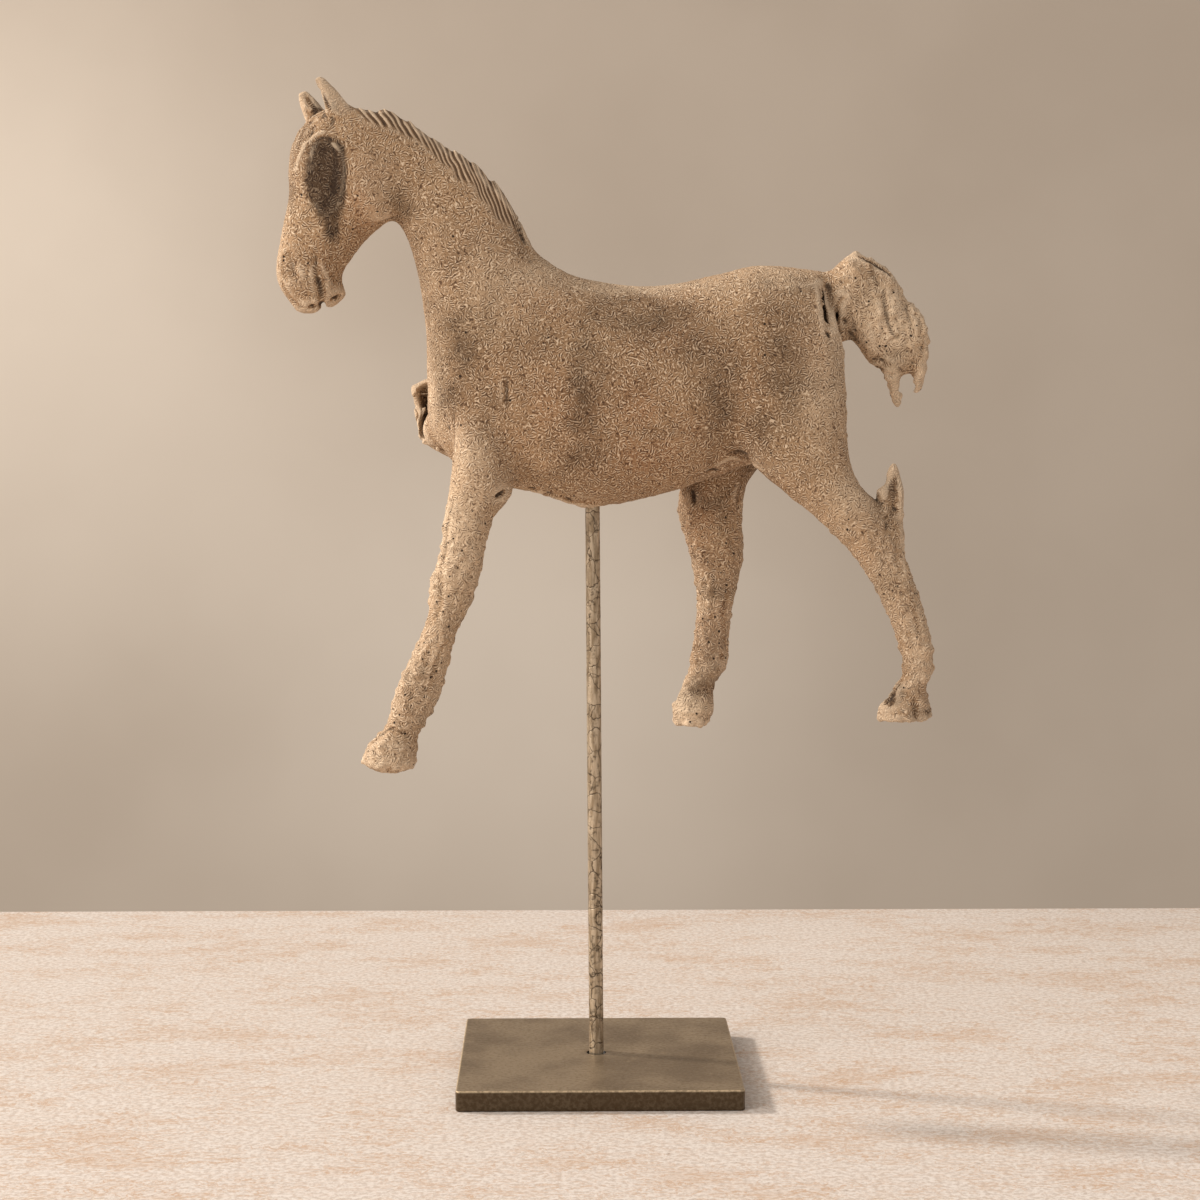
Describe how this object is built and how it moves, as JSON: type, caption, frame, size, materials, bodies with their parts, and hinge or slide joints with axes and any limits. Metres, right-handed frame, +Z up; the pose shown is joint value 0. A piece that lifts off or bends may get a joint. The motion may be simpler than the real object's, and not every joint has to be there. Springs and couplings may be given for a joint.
{
  "type": "haniwa horse on a rod stand",
  "caption": "Broken hollow terracotta horse with a ribbed cropped mane, held up by a round steel rod on a square metal foot plate.",
  "frame": {"origin": "middle of the base plate's underside, on the surface the stand rests on", "axes": "+Z up; the horse faces -X, its tail is towards +X; -Y is the horse's left side, the near side, and +Y its right side"},
  "size_m": [0.4396, 0.19, 0.6784],
  "materials": {
    "terracotta": "unglazed low-fired clay, weathered, with a fine worm-like crust and greenish brown stains",
    "rod_steel": "waxed and mottled steel bar, worn bright along its middle",
    "plate_steel": "dark brown patinated steel, satin, worn lighter along its edges"
  },
  "bodies": {
    "root": {"horse": "terracotta", "support_rod": "rod_steel", "base_plate": "plate_steel"}
  },
  "joints": []
}
